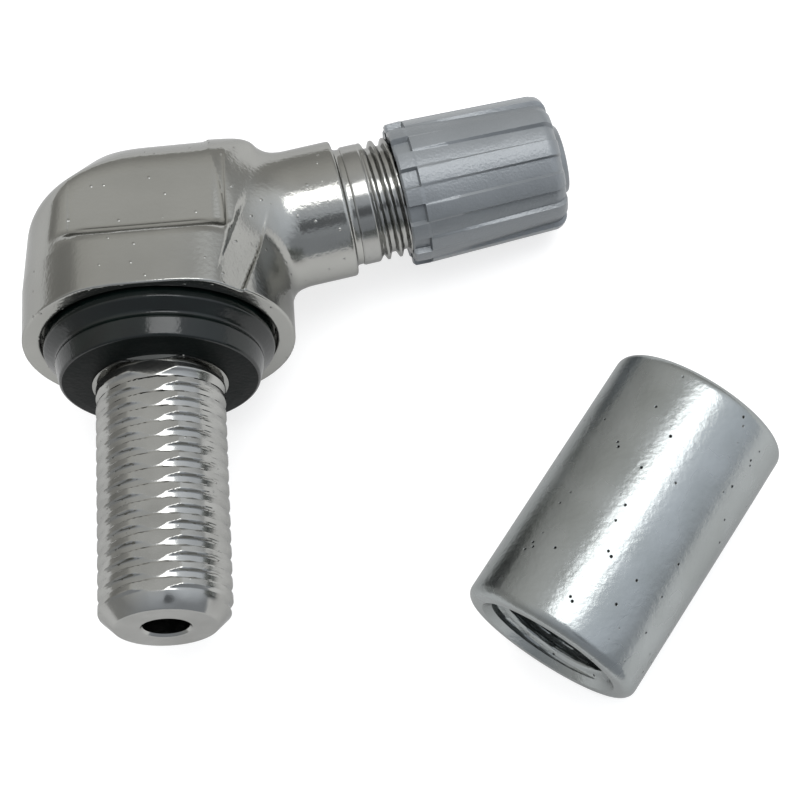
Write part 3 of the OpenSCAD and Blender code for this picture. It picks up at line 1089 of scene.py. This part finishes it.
@dataclass
class SleeveNut:
    """The round sleeve nut that lies beside the valve."""

    layout: Layout
    radius: float = 5.55
    length: float = 17.3
    edge_r: float = 0.6
    bore_r: float = 4.05
    chamfer: float = 0.4
    depth: float = 0.5
    pitch: float = 1.0
    crest: float = 0.12
    run_in: tuple[float, float] = (0.3, 0.9)
    skin_gap: float = 0.001
    fine: float = 0.07
    coarse: float = 0.4
    sides: int = 180

    def shape(self, radius: Array, station: Array, angle: Array) -> Array:
        """Raise the inner thread from the bore's wall.

        Args:
            radius: The plain radius.
            station: Places along the nut.
            angle: Angles round it.

        Returns:
            The radius with the thread.
        """
        inner = radius < self.bore_r + self.skin_gap
        wave = 1 - thread_wave(station, angle, self.pitch, self.crest)
        start, full = self.run_in
        fade = smooth_step(self.length/2 - start, self.length/2 - full, np.abs(station))
        return np.where(inner, radius - self.depth*wave*fade, radius)

    def build(self) -> None:
        """Make the nut as one turned ring."""
        half = self.length/2
        mouth_r = self.bore_r + self.chamfer
        skin = [(self.bore_r, half - self.chamfer), (mouth_r, half),
                *arc((0, half), (self.radius, half), (self.radius, 0), self.edge_r),
                *arc((self.radius, 0), (self.radius, -half), (0, -half), self.edge_r),
                (mouth_r, -half), (self.bore_r, self.chamfer - half)]
        bore = [skin[-1], skin[0]]
        outline = np.concatenate([dense(skin, self.coarse), dense(bore, self.fine)[1:-1]])
        points, faces = turned(outline, self.sides, self.shape, closed=True, falling=True)
        piece = new_piece("plated_sleeve_nut", self.layout.nut.place(points), faces, "valve",
                          ZINC_PLATE.build())
        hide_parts("sleeve_nut")


@dataclass
class ValveCore:
    """The valve core inside the neck, and the washer inside the cap."""

    layout: Layout
    nodes: dict[str, bpy.types.Object]
    wire_r: float = 0.14
    coil_r: float = 1.235
    foot: float = 12.8
    head: float = 17.8
    turns: int = 6
    travel: float = 1.2
    steps: int = 24
    wire_sides: int = 10

    def build(self) -> None:
        """Wind the spring and dress the core's solids."""
        self.wind_spring()
        brass, rubber = CORE_BRASS.build(), bpy.data.materials["moulded_black_rubber"]
        finishes = {"core_plug": brass, "core_barrel": brass, "core_pin": brass, "core_cup": brass,
                    "core_gasket": GASKET_RUBBER.build(), "core_cup_seal": rubber, "cap_washer": rubber}
        for name, material in finishes.items():
            mesh = self.nodes[name].data
            mesh.materials.clear()
            mesh.materials.append(material)
            LOG.info("%s: dressed", name)

    def wind_spring(self) -> None:
        """Make the spring as a round wire wound from the core's foot to its head."""
        low, high = self.foot + self.wire_r, self.head - self.wire_r
        share = np.linspace(0, 1, self.turns*self.steps + 1)[:, None]
        along = share*self.turns*2*np.pi
        side = np.linspace(0, 2*np.pi, self.wire_sides, endpoint=False)[None, :]
        radius = self.coil_r + self.wire_r*np.cos(side)
        points = np.stack([radius*np.cos(along), radius*np.sin(along),
                           low + (high - low)*share + self.wire_r*np.sin(side)], -1).reshape(-1, 3)
        first = list(range(self.wire_sides))
        last = [len(points) - 1 - i for i in first]
        faces = tube_faces(len(share), self.wire_sides)[:, ::-1].tolist() + [first, last]
        piece = new_piece("core_spring_wire", self.layout.neck.place(points), faces, "valve",
                          SPRING_WIRE.build())
        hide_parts("core_spring")
        anchor = self.layout.neck.place(np.array([[0, 0, self.foot]]))[0]
        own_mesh(piece)


@dataclass(frozen=True)
class Lobe:
    """A cone of directions in the room where a value differs, with a smooth edge."""

    centre: tuple[float, float, float]
    inner_deg: float
    outer_deg: float
    outside: float
    inside: float

    def add(self, nodes: NodeTree, toward: bpy.types.NodeSocket) -> bpy.types.NodeSocket:
        """Add the lobe's nodes.

        Args:
            nodes: The nodes to add to.
            toward: The direction that is looked in.

        Returns:
            A socket with the value in that direction.
        """
        middle = tuple(Vector(self.centre).normalized())
        near = nodes.add("VectorMath", {"operation": "DOT_PRODUCT", 1: middle}, in0=toward)
        low, high = [math.cos(math.radians(angle)) for angle in (self.outer_deg, self.inner_deg)]
        fade = nodes.add("MapRange", {"interpolation_type": "SMOOTHSTEP", "From Min": low, "From Max": high,
                                      "To Min": self.outside, "To Max": self.inside},
                         Value=near.outputs["Value"])
        return fade.outputs["Result"]


@dataclass
class Studio:
    """The pale floor, the soft light and the camera at the photograph's angle."""

    floor_z: float
    focal_px: float = 2150.0
    image_px: float = 800.0
    sensor_mm: float = 36.0
    clip: tuple[float, float] = (0.001, 10.0)
    paper: str = "#a8a8a8"
    paper_roughness: float = 0.9
    floor_glow: float = 0.72
    floor_mirrored: float = 0.42
    floor_front: float = 0.03
    floor_reach: float = 2.0
    wall_glow: float = 0.44
    ceiling_glow: float = 0.72
    ceiling_span: tuple[float, float] = (0.3, 0.9)
    warm_tint: str = "#fffefa"
    cool_tint: str = "#f0f6ff"
    box_toward: tuple[float, float, float] = (0.37, 0.02, 0.93)
    box_far: float = 0.5
    box_half_deg: tuple[float, float] = (15.5, 11.5)
    box_glow: float = 3.3
    fill_toward: tuple[float, float, float] = (0.15, 0.2, 0.97)
    fill_half_deg: tuple[float, float] = (34.0, 34.0)
    fill_glow: float = 2.0
    front_shade: Lobe = Lobe((0.27, -0.70, 0.66), 6, 13, 1.0, 0.28)
    left_gloom: Lobe = Lobe((-0.82, 0.42, 0.38), 6, 24, 1.0, 0.74)
    pale_side: Lobe = Lobe((0.85, -0.05, 0.5), 18, 48, 0.0, 0.5)
    cool_side: Lobe = Lobe((0.55, -0.8, 0.2), 30, 120, 0.0, 1.0)
    eye_mm: tuple[float, float, float] = (34.92, -60.21, 114.43)
    right: tuple[float, float, float] = (0.9764, -0.0693, -0.2049)
    down: tuple[float, float, float] = (-0.1512, -0.8963, -0.4170)
    forward: tuple[float, float, float] = (-0.1548, 0.4381, -0.8856)

    def build(self) -> None:
        """Set the scene round the object."""
        self.camera()
        self.floor()
        self.lamps()
        self.world()
        bpy.context.scene.view_settings.view_transform = "Standard"

    def camera(self) -> None:
        """Put the camera where the photograph was taken."""
        data = bpy.data.cameras.new("photo_camera")
        data.sensor_width = self.sensor_mm
        data.lens = self.focal_px/self.image_px*self.sensor_mm
        data.clip_start, data.clip_end = self.clip
        camera = bpy.data.objects.new("photo_camera", data)
        columns = Matrix([self.right, [-d for d in self.down], [-f for f in self.forward]]).transposed()
        camera.matrix_world = Matrix.Translation(Vector(self.eye_mm)*MM) @ columns.to_4x4()
        bpy.context.scene.collection.objects.link(camera)
        bpy.context.scene.camera = camera

    def floor(self) -> None:
        """Lay a floor that looks white and still takes the object's shade."""
        mesh = bpy.data.meshes.new("floor")
        reach, front = self.floor_reach, -self.floor_front
        corners = [(-reach, front), (reach, front), (reach, reach), (-reach, reach)]
        mesh.from_pydata([(x, y, self.floor_z) for x, y in corners], [], [(0, 1, 2, 3)])
        nodes = NodeTree(bpy.data.materials.new("white_paper"))
        nodes.set(Roughness=self.paper_roughness, Base_Color=linear(self.paper), Specular_IOR_Level=0.0)
        seen = nodes.add("Math", {"operation": "MULTIPLY", 1: self.floor_glow}, in0=self.white_rays(nodes))
        glow = nodes.add("Math", {"operation": "MULTIPLY_ADD", 1: self.floor_mirrored},
                         in0=nodes.add("LightPath").outputs["Is Glossy Ray"], in2=seen.outputs["Value"])
        nodes.set(Emission_Color=(1, 1, 1, 1))
        nodes.feed(glow.outputs["Value"], "Emission Strength")
        mesh.materials.append(nodes.owner)
        floor = bpy.data.objects.new("floor", mesh)
        bpy.context.scene.collection.objects.link(floor)

    def lamps(self) -> None:
        """Hang the soft box nearly overhead, and a wide fill that polished metal does not mirror."""
        self.hang("ceiling_box", self.box_toward, self.box_half_deg, self.box_glow)
        self.hang("top_fill", self.fill_toward, self.fill_half_deg, self.fill_glow).visible_glossy = False

    def hang(self, name: str, toward: tuple[float, float, float], half_deg: tuple[float, float],
             glow: float) -> bpy.types.Object:
        """Hang a rectangular lamp that faces the object.

        Args:
            name: The lamp's name.
            toward: The direction it hangs in.
            half_deg: Half its width and half its depth, in degrees as seen from the object.
            glow: Its radiance.

        Returns:
            The lamp.
        """
        data = bpy.data.lights.new(name, "AREA")
        data.shape = "RECTANGLE"
        data.size, data.size_y = [2*self.box_far*math.tan(math.radians(half)) for half in half_deg]
        data.energy = glow*math.pi*data.size*data.size_y
        lamp = bpy.data.objects.new(name, data)
        back = Vector(toward).normalized()
        deep = back.cross(Vector((1, 0, 0))).normalized()
        turn = Matrix([deep.cross(back), deep, back]).transposed()
        lamp.matrix_world = Matrix.Translation(back*self.box_far) @ turn.to_4x4()
        bpy.context.scene.collection.objects.link(lamp)
        return lamp

    def world(self) -> None:
        """Light the room: dim walls, a paler ceiling and a pale side, dark in front and dim on the left."""
        nodes = NodeTree(bpy.data.worlds.new("white_room"), "Background")
        bpy.context.scene.world = nodes.owner
        toward = nodes.add("TexCoord").outputs["Generated"]
        height = nodes.add("SeparateXYZ", None, Vector=toward).outputs["Z"]
        low, high = self.ceiling_span
        light = nodes.add("MapRange", {"From Min": low, "From Max": high, "To Min": self.wall_glow,
                                       "To Max": self.ceiling_glow}, Value=height).outputs["Result"]
        for operation, lobe in (("MULTIPLY", self.front_shade), ("MULTIPLY", self.left_gloom),
                                ("ADD", self.pale_side)):
            light = nodes.add("Math", {"operation": operation}, in0=light,
                              in1=lobe.add(nodes, toward)).outputs["Value"]
        seen = self.white_rays(nodes)
        strength = nodes.add("Math", {"operation": "MAXIMUM"}, in0=light, in1=seen)
        tint = nodes.add("Mix", {"data_type": "RGBA", 6: linear(self.warm_tint), 7: linear(self.cool_tint)},
                         in0=self.cool_side.add(nodes, toward))
        plain = nodes.add("Mix", {"data_type": "RGBA", 7: (1, 1, 1, 1)}, in0=seen, in6=tint.outputs[2])
        nodes.feed(plain.outputs[2], "Color")
        nodes.feed(strength.outputs["Value"], "Strength")

    @staticmethod
    def white_rays(nodes: NodeTree) -> bpy.types.NodeSocket:
        """Pick the rays that see the background white: the camera's, and those through glass.

        Args:
            nodes: The nodes to add to.

        Returns:
            A socket that is 1 for those rays.
        """
        path = nodes.add("LightPath").outputs
        return nodes.add("Math", {"operation": "MAXIMUM"}, in0=path["Is Camera Ray"],
                         in1=path["Is Transmission Ray"]).outputs["Value"]


def main() -> None:
    """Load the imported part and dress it."""
    logging.basicConfig(level=logging.INFO, format="%(message)s")
    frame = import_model()
    layout = Layout.from_record(frame["record"])
    Studio(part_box("valve_body")[0].z).build()
    CastBody(layout).build()
    RimSeal(layout).build()
    DustCap(layout).build()
    SleeveNut(layout).build()
    ValveCore(layout, frame["nodes"]).build()


if __name__ == "__main__":
    main()
